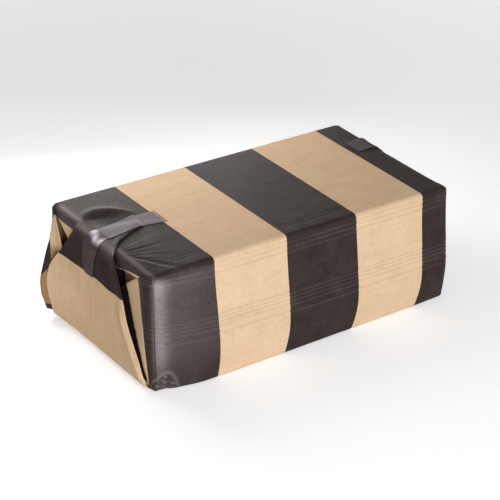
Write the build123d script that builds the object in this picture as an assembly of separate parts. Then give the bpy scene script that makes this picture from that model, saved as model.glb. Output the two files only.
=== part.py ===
from build123d import *
from dataclasses import dataclass
from math import hypot, log, pi, radians, sin, sqrt, tan
import os

# A small gift parcel: one sheet of kraft paper round a closed box, folded shut at both ends and taped.
# The origin is under the middle of the parcel, on the surface it rests on. +X runs along its length
# towards the plainer end, +Y to its back and +Z up. Millimetres.

# The pack, measured over the paper but without its loose folds
pack_length = 200.0
pack_width = 110.0
pack_height = 72.0
long_edge_round = 5.0
end_edge_round = 3.5

# What both folded ends share
fold_stand = 1.2            # how far the doubled bottom flap stands off what it lies on
turned_band = 6.5           # height of the strip of the top that turns down over the end
front_foot = 3.0            # from the pack's front to the foot of the flap's front mitre
back_foot = 6.5             # from the pack's back to the flap's upright back edge
pocket_inset = 6.5          # from the pack's side to the outer corner of a pocket beside the flap
pocket_depth = 3.2          # how far the turned-down top falls back behind the flap and the wings
pocket_run = 10.0           # the height over which it falls back
pocket_lap = 4.0            # how far a pocket reaches in under the flap
wing_puff = 8.8             # how far the loose back wing stands out
wing_puff_width = 12.0
wing_puff_crest = 0.25      # where across its width it stands out most, from the back
flap_puff = 6.6             # how far it pushes out the flap that lies over it
flap_puff_width = 40.0
flap_puff_crest = 0.1
flap_puff_lap = 2.5         # how far that swelling starts behind the flap's back edge
puff_top = 6.0              # both die out this far below the top
puff_crest = 0.33           # the share of their height at which they stand out most
puff_sharpness = 1.3        # how quickly they rise to it
puff_grid = 10              # the squares of the grid that gives their shape
fold_round = 0.3            # rounding of the flap's folded edges

# The sheet's lengthwise overlap on the underside
overlap_edge = 20.0         # its edge, behind the pack's middle
overlap_step = 0.2

# The tape
tape_width = 14.8
tape_thickness = 0.1
tape_ramp = 1.6             # the run over which the tape comes down from the tongue to the top face
under_tape_length = 46.0


@dataclass
class EndFold:
    """The values of one folded end, as if it were the left one.

    Places across the end are shares of the pack's width, from its front to its back.
    """

    front_rim: float        # where the flap's front mitre meets the end's top edge
    front_bow: float        # how far that mitre is bowed inwards
    back_rim: float         # where its back mitre meets that edge
    back_shoulder: float    # the share of the pack's height at which the back mitre starts
    front_wing_lean: float  # the front wing's upper fold, in degrees below level
    back_wing_lean: float
    tongue_reach: float     # from the end to the tongue's tip, along the top
    tip_front: float        # the tip's front corner
    tip_back: float         # the tip's back corner
    tip_skew: float         # how much nearer the end the front corner is
    tape_lap: float         # from the tongue's tip to the tape's inner end
    tape_drop: float        # from the top to the tape's lower end
    tape_middle: float      # the tape's middle at the end's top edge
    tape_skew: float        # how much further back the tape's inner end lies


left = EndFold(front_rim=0.298, front_bow=2.0, back_rim=0.727, back_shoulder=0.556, front_wing_lean=34.0,
               back_wing_lean=58.0, tongue_reach=28.5, tip_front=0.505, tip_back=0.6, tip_skew=2.7,
               tape_lap=14.5, tape_drop=26.0, tape_middle=0.507, tape_skew=3.0)

right = EndFold(front_rim=0.569, front_bow=1.0, back_rim=0.729, back_shoulder=0.472, front_wing_lean=38.0,
                back_wing_lean=58.0, tongue_reach=5.5, tip_front=0.582, tip_back=0.714, tip_skew=0.6,
                tape_lap=9.5, tape_drop=20.0, tape_middle=0.673, tape_skew=0.0)

# Places that follow from the sizes
end_x = -pack_length / 2
bend_x = end_x + end_edge_round
bend_z = pack_height - end_edge_round
front_foot_y = -pack_width / 2 + front_foot
back_foot_y = pack_width / 2 - back_foot
pocket_top = pack_height - turned_band
puff_height = pack_height - puff_top
beyond = 4 * wing_puff      # clear of everything that stands out at an end
diagonal = sqrt(0.5)
near = 0.01                 # two places closer than this are the same place


def width_place(share):
    """The y at that share of the pack's width, from its front."""
    return pack_width * (share - 0.5)


def section(*edges):
    """A closed face in the XZ plane."""
    return Plane.XZ * make_face(list(edges))


def across(face):
    """A slab over the pack's whole width with that face as its section."""
    return extrude(face, amount=pack_width / 2, both=True)


def end_prism(outline):
    """A prism along X over the left end, from (y, z) points."""
    face = make_face(Polyline(*[(end_x - beyond, y, z) for y, z in outline], close=True))
    return extrude(face, amount=beyond + end_edge_round, dir=(1, 0, 0))


def top_prism(outline):
    """A prism along Z over the top, from (x, y) points."""
    face = make_face(Polyline(*[(x, y, bend_z) for x, y in outline], close=True))
    return extrude(face, amount=beyond, dir=(0, 0, 1))


def bend(offset):
    """The arc of a layer over the end's top edge, that far off the pack."""
    reach = end_edge_round + offset
    return ThreePointArc((bend_x, bend_z + reach), (bend_x - reach * diagonal, bend_z + reach * diagonal),
                         (bend_x - reach, bend_z))


def sleeve():
    """The space inside the pack's long sides, past the left end. Whatever is folded there stays inside it."""
    outline = Pos(0, pack_height) * Rectangle(pack_width, 2 * pack_height)
    return extrude(Plane.YZ.offset(end_x - beyond) * fillet(outline.vertices(), long_edge_round),
                   amount=pack_length)


def flap(fold):
    """The bottom flap: up the end between its two mitres, over the top edge, with its tongue on the top."""
    tip_x = end_x + fold.tongue_reach
    outer_x = end_x - fold_stand
    outer_z = pack_height + fold_stand
    foot_arc = ThreePointArc((outer_x, end_edge_round),
                             (outer_x + end_edge_round * (1 - diagonal), end_edge_round * (1 - diagonal)),
                             (outer_x + end_edge_round, 0))
    slab = across(section(
        Line((tip_x, outer_z), (bend_x, outer_z)),
        bend(fold_stand),
        Line((outer_x, bend_z), (outer_x, end_edge_round)),
        foot_arc,
        Polyline((outer_x + end_edge_round, 0), (bend_x, 0), (bend_x, bend_z), (tip_x, bend_z),
                 (tip_x, outer_z)),
    ))

    front_rim_y = width_place(fold.front_rim)
    back_rim_y = width_place(fold.back_rim)
    on_end = end_prism([
        (front_foot_y, 0),
        ((front_foot_y + front_rim_y) / 2 + fold.front_bow, bend_z / 2),
        (front_rim_y, bend_z),
        (front_rim_y, outer_z),
        (back_rim_y, outer_z),
        (back_rim_y, bend_z),
        (back_foot_y, pack_height * fold.back_shoulder),
        (back_foot_y, 0),
    ])
    on_top = top_prism([
        (bend_x, front_rim_y),
        (tip_x - fold.tip_skew, width_place(fold.tip_front)),
        (tip_x, width_place(fold.tip_back)),
        (bend_x, back_rim_y),
    ])
    body = slab & (on_end + on_top)

    # The mitres are folds, so their outer edges are round. The tip is a cut edge.
    rim_reach = end_edge_round + fold_stand
    folded = []
    for edge in body.edges():
        middle = edge @ 0.5
        on_bend = abs(hypot(middle.X - bend_x, middle.Z - bend_z) - rim_reach) < near
        on_skin = middle.X < outer_x + near or middle.Z > outer_z - near or on_bend
        if on_skin and abs((edge % 0.5).Y) < 1 - near:
            folded.append(edge)
    return fillet(folded, fold_round) & sleeve()


def pocket(inward, foot_y, foot_z, rim_y, wing_lean):
    """The hollow between the turned-down band, a wing's upper fold and the flap.

    inward is 1 at the front and -1 at the back. Going down, the two folds close on each other.
    """
    flap_run = inward * (rim_y - foot_y) / (bend_z - foot_z)
    wing_run = 1 / tan(radians(wing_lean))
    outer = -pack_width / 2 + pocket_inset
    foot = inward * foot_y + pocket_lap
    low_z = (outer - foot + pocket_top * wing_run + foot_z * flap_run) / (flap_run + wing_run)
    outline = [
        (inward * outer, pocket_top),
        (inward * (foot + (pocket_top - foot_z) * flap_run), pocket_top),
        (inward * (foot + (low_z - foot_z) * flap_run), low_z),
    ]
    floor_x = end_x + pocket_depth
    hollow = across(section(Polyline((end_x - beyond, pocket_top), (end_x, pocket_top),
                                     (floor_x, pocket_top - pocket_run), (floor_x, 0),
                                     (end_x - beyond, 0), close=True)))
    return hollow & end_prism(outline)


def hump(share, crest):
    """A smooth swelling over 0 to 1: nothing at both limits and 1 at the crest."""
    return sin(pi * share ** (log(0.5) / log(crest)))


def pillow(back_y, width, crest, out):
    """A swelling of loose paper at the foot of the end, as a solid that reaches into the block."""
    rows = []
    for row in range(puff_grid + 1):
        height = row / puff_grid
        swell = hump(height, puff_crest) ** puff_sharpness * out
        rows.append([
            Vector(bend_x - (swell + end_edge_round) * hump(column / puff_grid, crest),
                   back_y - width * column / puff_grid, height * puff_height)
            for column in range(puff_grid + 1)
        ])
    skin = Face.make_surface_from_array_of_points(rows)
    return extrude(skin, amount=out + 2 * end_edge_round, dir=(1, 0, 0))


def back_wing(fold):
    """The loose back wing, puffed out beside the flap, up to its own upper fold."""
    fold_y = pack_width / 2 - pocket_inset
    fold_run = pocket_top / tan(radians(fold.back_wing_lean))
    body = pillow(pack_width / 2, wing_puff_width, wing_puff_crest, wing_puff) & sleeve()
    return body & end_prism([(pack_width / 2, 0), (pack_width / 2, pack_height), (fold_y, pack_height),
                             (fold_y, pocket_top), (fold_y - fold_run, 0)])


def flap_pillow(fold):
    """The part of the flap that the loose wing under it pushes out, cut off at the flap's back edge."""
    shoulder = pack_height * fold.back_shoulder
    rim_y = width_place(fold.back_rim)
    body = pillow(back_foot_y + flap_puff_lap, flap_puff_width, flap_puff_crest, flap_puff)
    return body & end_prism([(0, 0), (back_foot_y, 0), (back_foot_y, shoulder), (rim_y, bend_z), (0, bend_z)])


def folded_end(fold):
    """What one end adds to the plain wrapped block, and the two pockets that it takes from it."""
    pockets = [
        pocket(1, front_foot_y, 0, width_place(fold.front_rim), fold.front_wing_lean),
        pocket(-1, back_foot_y, pack_height * fold.back_shoulder, width_place(fold.back_rim),
               fold.back_wing_lean),
    ]
    return [flap(fold), back_wing(fold), flap_pillow(fold)], pockets


def end_tape(fold):
    """A strip from the top face over the tongue's tip and the end's top edge, down the flap."""
    tip_x = end_x + fold.tongue_reach
    inner_x = tip_x + fold.tape_lap
    low_z = pack_height - fold.tape_drop
    below = fold_stand
    above = fold_stand + tape_thickness
    slab = across(section(
        Polyline((bend_x, pack_height + above), (tip_x, pack_height + above),
                 (tip_x + tape_ramp, pack_height + tape_thickness), (inner_x, pack_height + tape_thickness),
                 (inner_x, pack_height), (tip_x + tape_ramp, pack_height), (tip_x, pack_height + below),
                 (bend_x, pack_height + below)),
        bend(below),
        Polyline((end_x - below, bend_z), (end_x - below, low_z), (end_x - above, low_z),
                 (end_x - above, bend_z)),
        bend(above),
    ))
    front_y = width_place(fold.tape_middle) - tape_width / 2
    back_y = front_y + tape_width
    on_end = end_prism([(front_y, 0), (front_y, pack_height + above), (back_y, pack_height + above),
                        (back_y, 0)])
    on_top = top_prism([(bend_x, front_y), (inner_x, front_y + fold.tape_skew),
                        (inner_x, back_y + fold.tape_skew), (bend_x, back_y)])
    return slab & (on_end + on_top)


def wrapped_pack():
    """The sealed pack as one solid: the wrapped block, its two folded ends and the sheet's overlap."""
    block = Pos(0, 0, pack_height / 2) * Box(pack_length, pack_width, pack_height)
    block = fillet(block.edges().filter_by(Axis.X), long_edge_round)
    block = fillet(block.faces().filter_by(Axis.X).edges(), end_edge_round)

    for fold, flipped in ((left, False), (right, True)):
        added, taken = folded_end(fold)
        for hollow in taken:
            block -= mirror(hollow, Plane.YZ) if flipped else hollow
        for layer in added:
            block += mirror(layer, Plane.YZ) if flipped else layer

    behind = pack_width / 2 - overlap_edge
    step = Pos(0, overlap_edge + behind / 2, overlap_step / 2) * Box(pack_length, behind, overlap_step)
    bed = Pos(0, overlap_edge, overlap_step / 2) * Box(tape_width, under_tape_length, overlap_step)
    return block - step - bed


def underside_tape():
    """The strip across the overlap on the underside, let into the paper so that the pack rests flat."""
    strip = Box(tape_width, under_tape_length, tape_thickness)
    return Pos(0, overlap_edge, overlap_step - tape_thickness / 2) * strip


os.makedirs("parts", exist_ok=True)
export_step(wrapped_pack(), "parts/wrapped_pack.step")
export_step(end_tape(left), "parts/left_end_tape.step")
export_step(mirror(end_tape(right), Plane.YZ), "parts/right_end_tape.step")
export_step(underside_tape(), "parts/underside_tape.step")
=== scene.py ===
from math import cos, hypot, pi, radians, sin

import bpy
import bmesh
import numpy as np
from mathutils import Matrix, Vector


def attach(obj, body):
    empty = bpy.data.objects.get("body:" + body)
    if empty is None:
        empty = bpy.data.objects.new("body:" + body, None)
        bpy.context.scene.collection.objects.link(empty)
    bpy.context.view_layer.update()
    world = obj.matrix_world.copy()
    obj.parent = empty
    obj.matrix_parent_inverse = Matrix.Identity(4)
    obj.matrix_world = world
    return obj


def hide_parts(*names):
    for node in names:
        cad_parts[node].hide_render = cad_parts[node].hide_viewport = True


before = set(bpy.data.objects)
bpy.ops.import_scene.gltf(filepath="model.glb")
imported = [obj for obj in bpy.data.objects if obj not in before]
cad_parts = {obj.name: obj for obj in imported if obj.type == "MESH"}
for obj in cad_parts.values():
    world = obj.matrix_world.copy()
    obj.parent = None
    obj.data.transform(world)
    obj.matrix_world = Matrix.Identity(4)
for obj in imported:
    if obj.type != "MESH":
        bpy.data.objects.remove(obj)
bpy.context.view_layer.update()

# The wrapping sheet: one piece of kraft paper, 80 g per square metre, printed with wide dark bands before
# it was cut. It is wrapped round the closed box as a tube, overlaps itself on the underside and is turned
# in over both ends. This piece is the tube with the parts that were turned in first.
mm = 0.001
pack_length = 200.0
pack_width = 110.0
pack_height = 72.0
end_x = pack_length / 2
side_y = pack_width / 2
long_round = 5.0        # rounding of the long edges
crest_round = 3.0       # rounding of the front's upper edge, which is folded more sharply
foot_round = 2.0        # rounding of the front's lower edge
rim_round = 3.5         # rounding of the edges round both ends
tube_x = end_x - rim_round
overlap_y = 20.0        # the sheet's cut edge on the underside
front_v = side_y + overlap_y - foot_round + (pi / 2 - 1) * foot_round   # paper place of the front's foot
overlap_step = 0.2      # how far the underside is raised behind the overlap
band_pitch = 47.15      # width of one printed band
band_start = -106.5     # paper place where the first dark band starts
pocket_depth = 5.6      # how far the turned-down top falls back behind the wings
turned_band = 6.5       # paper from the rim to the crease of the turned-down top
slit_depth = 6.5        # how deep the slit behind the loose wing is
slit_start = 19.0       # how far back that slit starts
hollow_depth = 1.9      # of the hollow behind the left tongue
belly_out = 2.4         # how far the slack front stands out in its lower half
print_bend = 8.4        # how far the print bends to the left at the front's foot
flap_v = 400.0          # added to a flap's place round the sheet, which tells the flaps from the tube
rib_heights = (68.7, 65.7, 62.6, 37.7, 35.4, 33.0, 30.4, 25.9)   # pressed lines across the front


def smooth(share):
    """0 below 0, 1 above 1, and a soft step between."""
    t = np.clip(share, 0.0, 1.0)
    return t * t * (3.0 - 2.0 * t)


def bell(distance, reach):
    """1 at 0, falling softly to nothing at two or three times the reach."""
    return np.exp(-(distance / reach) ** 2)


def stacked(first, second, third):
    """Three arrays as one of triples."""
    return np.stack([first, second, third], axis=-1)


def edge_inset(depth, radius):
    """How far a rounded edge lies inside the sharp one, at that depth from it."""
    gap = np.clip(radius - depth, 0.0, radius)
    return radius - np.sqrt(np.maximum(radius * radius - gap * gap, 0.0))


def crease_z(y, side):
    """Height of the crease where the turned-down top bends back, at the left end (-1) or the right (1)."""
    if side > 0:
        return np.full_like(y, pack_height - turned_band)
    droop = 62.5 + 7.2 * np.clip((-17.0 - y) / 32.0, 0.0, 1.0)
    return np.where(y < 0.0, droop, 65.5)


def top_rise(x, y):
    """How far the top stands above its plane: the hollows and pulled folds round the left tongue, in mm."""
    along = (x + 83.0) / 15.0
    crescent_top = 29.0 - 9.0 * np.clip(np.abs(along + 0.15), 0.0, 1.2) ** 2
    hollow = smooth((crescent_top - y) / 5.0) * smooth((y - 4.0) / 6.0) * smooth(1.15 - np.abs(along))
    rise = -hollow_depth * hollow
    lip = 0.7 * bell(y - crescent_top - 1.5, 3.0) * smooth(1.3 - np.abs(along))
    rise = rise + lip * smooth((y - 8.0) / 6.0)
    # Pleats that fan out from under the tongue's front edge towards the front
    fan_x, fan_y = x + 106.0, y + 22.0
    reach = np.hypot(fan_x, fan_y)
    angle = np.arctan2(fan_y, fan_x)
    fan = smooth((angle + 0.95) / 0.25) * smooth((0.42 - angle) / 0.15) * smooth((reach - 7.0) / 6.0)
    pleats = np.sin(angle * 31.0 + 0.6) + 0.5 * np.sin(angle * 53.0 + 2.0)
    rise = rise + 0.12 * pleats * fan * bell(reach - 10.0, 17.0)
    main_pleat = 0.30 * bell(angle - 0.12, 0.14) * smooth((reach - 8.0) / 8.0)
    rise = rise + main_pleat * bell(reach - 14.0, 20.0)
    # The corner crease, and two shallow creases just inside the front edge
    across = (x + 92.5) * 0.86 + (y + 38.0) * 0.50
    beside = (x + 92.5) * 0.50 + (y + 38.0) * 0.86
    rise = rise + 0.20 * bell(across, 1.1) * bell(beside, 7.0)
    rise = rise - 0.55 * bell(across - 2.6, 1.8) * bell(beside, 8.0)
    rise = rise - 0.9 * smooth((-y - 34.0) / 18.0) * smooth((-x - 84.0) / 14.0)
    rise = rise - 0.13 * (bell(y + 45.6, 0.8) + 0.8 * bell(y + 42.9, 0.8))
    # Small cross folds where the paper turns over the rim
    rise = rise + 0.05 * np.sin(y * 2.9 + 0.8 * np.sin(y * 0.37)) * smooth((-x - 90.0) / 5.0)
    return rise


def foot_spread(x, z):
    """How far the front's foot stands out at the left and is drawn in at the right, in mm."""
    spread = np.interp(x, [-60.0, -12.0, 82.0, 100.0], [2.2, 0.9, -2.2, -3.4])
    return spread * np.clip((24.0 - z) / 24.0, 0.0, 1.0) ** 1.4


def belly(x, z):
    """How far the slack front stands out in its lower half and at its foot, in mm."""
    out = belly_out * smooth((64.0 - z) / 40.0) + foot_spread(x, z)
    return out * smooth((x + 99.0) / 32.0)


def drawn_under(x, z):
    """How far the print bends to the left near the front's foot, where paper is drawn under the box."""
    foot = print_bend * np.clip((22.0 - z) / 22.0, 0.0, 1.0) ** 2.1
    foot = foot * (0.5 + 0.5 * smooth((x + 60.0) / 80.0))
    return 0.66 * (foot + foot_spread(x, z)) * smooth((x + 99.0) / 32.0)


def soften_corners(points):
    """Rounds the upright edges, where loose paper bulges round the box's sharper ones."""
    for side, depth, radius in ((-1, -1, 10.0), (-1, 1, 6.0), (1, 1, 6.0)):
        from_end = radius - (end_x - side * points[..., 0])
        from_side = radius - (side_y - depth * points[..., 1])
        near = (from_end > 0.0) & (from_side > 0.0)
        reach = np.maximum(np.hypot(from_end, from_side), 1e-6)
        ahead, aside = from_end / reach, from_side / reach
        centre = radius - rim_round
        both = ahead + aside
        under_root = centre * centre * (both * both - 2.0) + rim_round * rim_round
        arc = centre * both + np.sqrt(np.maximum(under_root, 0.0))
        flat = radius / np.maximum(np.maximum(ahead, aside), 1e-6)
        square = np.where((arc * ahead > centre) & (arc * aside > centre), arc, flat)
        z = points[..., 2]
        share = (0.35 + 0.65 * smooth((pack_height - z) / 9.0)) * (0.5 + 0.5 * smooth(z / 7.0))
        shrink = 1.0 + (radius / square - 1.0) * share * near
        points[..., 0] = np.where(near, side * (end_x - radius + from_end * shrink), points[..., 0])
        points[..., 1] = np.where(near, depth * (side_y - radius + from_side * shrink), points[..., 1])
    return points


def tube_section():
    """The columns round the tube: from the overlap under it by the front, top and back to it again."""
    places = []
    runs = [
        ((overlap_y, 0.0), (-side_y + foot_round, 0.0), (0.0, -1.0), 35),
        ((-side_y, foot_round), (-side_y, pack_height - crest_round), (-1.0, 0.0), 150),
        ((-side_y + crest_round, pack_height), (side_y - long_round, pack_height), (0.0, 1.0), 150),
        ((side_y, pack_height - long_round), (side_y, long_round), (1.0, 0.0), 40),
        ((side_y - long_round, 0.0), (overlap_y, 0.0), (0.0, -1.0), 15),
    ]
    around = 0.0
    for index, (start, stop, normal, count) in enumerate(runs):
        span = hypot(stop[0] - start[0], stop[1] - start[1])
        for k in range(count + 1):
            share = k / count
            y = start[0] + (stop[0] - start[0]) * share
            z = start[1] + (stop[1] - start[1]) * share
            places.append((y, z, normal[0], normal[1], around + span * share))
        around += span
        if index == len(runs) - 1:
            break
        following = runs[index + 1]
        radius = (foot_round, crest_round, long_round, long_round)[index]
        centre = (stop[0] - normal[0] * radius, stop[1] - normal[1] * radius)
        for k in range(1, 8):
            turn = radians(90.0) * k / 8
            ny = normal[0] * cos(turn) + following[2][0] * sin(turn)
            nz = normal[1] * cos(turn) + following[2][1] * sin(turn)
            y = centre[0] + ny * radius
            z = centre[1] + nz * radius
            places.append((y, z, ny, nz, around + turn * radius))
        around += radians(90.0) * radius
    return np.array(places)


section = tube_section()
sec_y, sec_z, sec_ny, sec_nz, sec_v = section.T
down_share = np.clip((pack_height - sec_z) / pack_height, 0.0, 1.0)
front_share = np.where(sec_y < 0, down_share, 0.0)
under_front = (sec_nz < -0.5) & (sec_v < 80.0)
under_back = sec_v > sec_v[-1] - 40.0


def paper_shift(x):
    """How far the print has slipped along the tube at each column, because the sheet was wrapped askew."""
    lower = np.where(x < 45.0, 1.6 + 1.2 * smooth((-12.0 - x) / 47.0), 1.6 - 2.0 * (x - 45.0) / 45.0)
    shift = front_share * lower - np.where(sec_y < -40.0, drawn_under(x, sec_z), 0.0) * (sec_nz < 0.5)
    below = 6.5 - 11.4 * (x + end_x) / pack_length
    lower = lower - drawn_under(x, 0.0)
    shift = np.where(under_front, lower + (below - lower) * smooth((sec_y + 52.0) / 25.0), shift)
    return np.where((sec_y > 0) & (sec_ny > 0.1) | under_back, -0.8 * down_share, shift)


tube_rows = np.concatenate([
    np.linspace(-tube_x, -80.0, 34),
    np.linspace(-79.0, -54.0, 20),
    np.linspace(-51.5, 60.0, 46),
    np.linspace(62.0, tube_x, 22),
])
rows = []
papers = []


def highlight_share_at(z):
    """The share of the painted highlights at a height: a quarter on the ground, all of it from 26 mm up."""
    return 0.25 + 0.75 * smooth((z - 4.0) / 22.0)


def add_row(x, y, z, u, painted_shade=0.0):
    """One row round the sheet at x, with the paper places, the painted highlights and the painted shade."""
    rows.append(stacked(np.broadcast_to(x, y.shape), y, z))
    # Painted highlight: the ink is painted grey where the front's upright left corner bulges, fading along
    # the front and brightest near the top
    bulge = bell(np.minimum(x + 96.0, 0.0), 2.6) * (1.05 * bell(np.maximum(x + 95.5, 0.0), 5.5)
                                                    + 0.33 * bell(np.maximum(x + 96.0, 0.0), 48.0))
    painted_highlight = bulge * smooth((-sec_ny - 0.2) / 0.7) * highlight_share_at(z) * smooth((71.0 - z) / 6.0)
    painted_highlight = painted_highlight * (1.0 + 0.45 * bell(z - 64.0, 6.0))
    # Painted highlight along the left rim, broken into ticks, and a faint painted light on the top just
    # inside the rim
    upward = smooth((sec_nz - 0.3) / 0.5)
    ticks = 0.70 + 0.30 * np.sin(y * 3.3 + 1.5 * np.sin(y * 0.31))
    rim_highlight = 1.7 * bell(x + 97.4, 1.5) * upward * smooth((50.0 - y) / 6.0)
    painted_highlight = painted_highlight + rim_highlight * (0.55 + 0.45 * smooth((y - 2.0) / 12.0)) * ticks
    painted_highlight = painted_highlight + 0.10 * smooth((-x - 86.0) / 8.0) * upward * smooth((y - 22.0) / 10.0)
    papers.append(stacked(u, sec_v, (painted_highlight - painted_shade) / mm))


def end_rows(side):
    """The rounded rim and the turned-in paper of one end, from the tube inwards."""
    made = []
    rim_here = rim_round - (1.4 * smooth((-sec_y - 38.0) / 14.0) if side > 0 else 0.0)
    for k in range(1, 7):
        turn = radians(90.0) * k / 6
        inset = rim_here * (1.0 - cos(turn))
        made.append((side * (end_x - rim_here * (1.0 - sin(turn))), inset, 0.0))
    shares = list(np.linspace(0.03, 0.63, 21)) + [0.70, 0.78, 0.86, 0.92]
    for share in shares:
        made.append((side * end_x, rim_here, share))
    out = []
    for x, inset, share in made:
        y0 = sec_y - sec_ny * inset
        z0 = sec_z - sec_nz * inset
        y = y0 * (1.0 - share)
        z = pack_height / 2 + (z0 - pack_height / 2) * (1.0 - share)
        depth = sec_ny * (sec_y - y) + sec_nz * (sec_z - z)
        crease = crease_z(y, side)
        inner = smooth((side_y - 3.5 - np.abs(y)) / 3.5) * smooth((z - 2.0) / 5.0)
        near_flap = smooth((y + 42.0) / 16.0) if side < 0 else 0.5
        recess = pocket_depth * (0.75 + 0.55 * near_flap) * smooth((crease - z) / (9.0 - 5.5 * near_flap))
        past_slit = y - 43.6 + 1.3 * (64.8 - z)
        behind = smooth((y - slit_start) / 3.0)
        if side < 0:
            slit_pocket = slit_depth * behind * smooth(past_slit / 1.6) * smooth((65.0 - z) / 1.5)
            recess = recess * (1.0 - behind) + slit_pocket
        recess = recess * inner * smooth(share / 0.06)
        turned = end_x + depth
        on_top = (sec_nz > 0.95) & (side < 0)
        turned_z = end_x + turned_band * (pack_height - z) / np.maximum(pack_height - crease, 0.5)
        turned_z = np.where(z < crease, end_x + turned_band + crease - z, turned_z)
        turned = np.where(on_top, turned_z, turned)
        bare = (sec_ny > 0.5) & (side < 0)
        turned = turned + turned_band * bare * smooth((66.0 - z) / 4.0)
        # Painted shade: a dark brown shade tone in the slit behind the loose wing
        slit_shade = (side < 0) * smooth((past_slit + 0.6) / 1.4) * smooth((65.2 - z) / 1.2) * behind
        # Painted shade: the hollow under the left flap is given the dark print, for its deep shadow
        hollow_edge = -8.0 - np.clip(1.6 * (crease - z), 0.0, 8.5)
        hollow = (side < 0) & (y > hollow_edge) & (y < slit_start) & (z < crease - 0.3)
        turned = np.where(hollow, end_x - 20.0, turned)
        u = side * turned - paper_shift(side * end_x) * np.where(on_top, 0.0, 1.0)
        out.append((x - side * recess, y, z, u, 1.2 * slit_shade))
    return out


for row in reversed(end_rows(-1)):
    add_row(*row)
for x in tube_rows:
    u = x + 0.6 * smooth((x - 35.0) / 46.0) - paper_shift(x)
    add_row(x, sec_y, sec_z, u)
for row in end_rows(1):
    add_row(*row)
rows = np.array(rows)
papers = np.array(papers)

# The top's hollows, the slack of the long faces and the crumpled corner at the foot of the left end
on_top = np.clip((sec_nz - 0.2) / 0.8, 0.0, 1.0)[None, :]
rows[..., 2] += on_top * top_rise(rows[..., 0], rows[..., 1]) * smooth((rows[..., 2] - 60.0) / 8.0)
slack = 0.22 * np.sin(rows[..., 0] / 23.0 + 0.7) * np.sin(sec_v / 17.0 + 1.1)[None, :]
slack = slack + 0.12 * np.sin(rows[..., 0] / 9.0 + sec_v[None, :] / 31.0)
face_middle = smooth(np.minimum(np.abs(sec_z - 4.0), np.abs(68.0 - sec_z)) / 12.0)[None, :]
rows[..., 1] += slack * sec_ny[None, :] * face_middle
on_front = np.where(sec_ny < -0.01, 1.0, smooth((-sec_y - 20.0) / 30.0) * (sec_nz < -0.5))
on_front = on_front * np.where((sec_nz > 0.0) & (sec_ny < -0.01), -sec_ny, 1.0)
on_front = on_front[None, :] * smooth((-rows[..., 1] - 30.0) / 20.0)
rows[..., 1] -= belly(rows[..., 0], rows[..., 2]) * on_front
lobe_x = (rows[..., 0] + 92.3) / 7.6
lobe_z = (rows[..., 2] - 4.2) / 6.2
lobe_turn = np.arctan2(lobe_z, lobe_x)
lobe_reach = np.hypot(lobe_x, lobe_z) * (1.0 + 0.14 * np.sin(3.0 * lobe_turn + 0.8))
lip = bell(lobe_reach - 1.0, 0.17) * smooth((lobe_z + 0.9) / 0.8)
inside = smooth((1.0 - lobe_reach) / 0.35)
facets = np.sin(7.0 * lobe_x + 5.0 * lobe_z + 0.4) * np.sin(6.0 * lobe_z - 3.0 * lobe_x + 0.6)
lobe = (0.9 * lip - 0.9 * inside + 0.9 * inside * facets) * (rows[..., 1] < -44.0)
rows[..., 1] -= lobe
# Painted highlight: grey marks on the crumple's lip and facets
papers[..., 2] += (0.5 * lip + 0.5 * inside * smooth(facets / 0.8)) * (rows[..., 1] < -44.0) / mm
behind_overlap = (sec_v > sec_v[-1] - 35.0 + 1e-6) & (sec_nz < -0.99)
rows[..., 2] += np.where(behind_overlap, overlap_step, 0.0)[None, :] * (np.abs(rows[..., 0]) < end_x)


def paper_piece(name, loops, paper):
    """A closed skin through rows of points, each row a closed loop, with the paper place of every point."""
    points = soften_corners(np.array(loops))
    count, across = points.shape[:2]
    faces = []
    for r in range(count - 1):
        for c in range(across):
            after = (c + 1) % across
            low, high = r * across, (r + 1) * across
            faces.append((low + c, low + after, high + after, high + c))
    faces.append(tuple(range(across - 1, -1, -1)))
    faces.append(tuple(range((count - 1) * across, count * across)))
    mesh = bpy.data.meshes.new(name)
    mesh.from_pydata([tuple(p) for p in points.reshape(-1, 3) * mm], [], faces)
    place = mesh.attributes.new("paper", "FLOAT_VECTOR", "POINT")
    place.data.foreach_set("vector", (np.array(paper) * mm).astype(np.float32).ravel())
    work = bmesh.new()
    work.from_mesh(mesh)
    bmesh.ops.recalc_face_normals(work, faces=work.faces)
    work.to_mesh(mesh)
    work.free()
    for polygon in mesh.polygons:
        polygon.use_smooth = len(polygon.vertices) == 4
    piece = bpy.data.objects.new(name, mesh)
    bpy.context.scene.collection.objects.link(piece)
    return piece


def join(tree, start, stop):
    """Links one node's socket to another's."""
    tree.links.new(start, stop)


def new_material(name):
    """A material, its node tree and its shader."""
    material = bpy.data.materials.new(name)
    material.use_nodes = True
    return material, material.node_tree, material.node_tree.nodes["Principled BSDF"]


def split(tree, vector):
    """A vector's three parts."""
    node = tree.nodes.new("ShaderNodeSeparateXYZ")
    join(tree, vector, node.inputs[0])
    return node.outputs


def calc(tree, operation, *values):
    """A Math node. Each value is a number or another node's socket."""
    node = tree.nodes.new("ShaderNodeMath")
    node.operation = operation
    for place, value in zip(node.inputs, values):
        if isinstance(value, (int, float)):
            place.default_value = value
        else:
            join(tree, value, place)
    return node.outputs[0]


def plus(tree, first, second):
    return calc(tree, "ADD", first, second)


def minus(tree, first, second):
    return calc(tree, "SUBTRACT", first, second)


def times(tree, first, second):
    return calc(tree, "MULTIPLY", first, second)


def scaled(tree, vector, factor):
    """A vector times a number."""
    node = tree.nodes.new("ShaderNodeVectorMath")
    node.operation = "SCALE"
    join(tree, vector, node.inputs[0])
    join(tree, factor, node.inputs["Scale"])
    return node.outputs[0]


def ranged(tree, value, low, high, to_low=0.0, to_high=1.0, kind="LINEAR"):
    """A Map Range node: low becomes to_low, high becomes to_high, and nothing goes past them."""
    node = tree.nodes.new("ShaderNodeMapRange")
    node.interpolation_type = kind
    for name, number in (("From Min", low), ("From Max", high), ("To Min", to_low), ("To Max", to_high)):
        node.inputs[name].default_value = number
    join(tree, value, node.inputs["Value"])
    return node.outputs[0]


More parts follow.
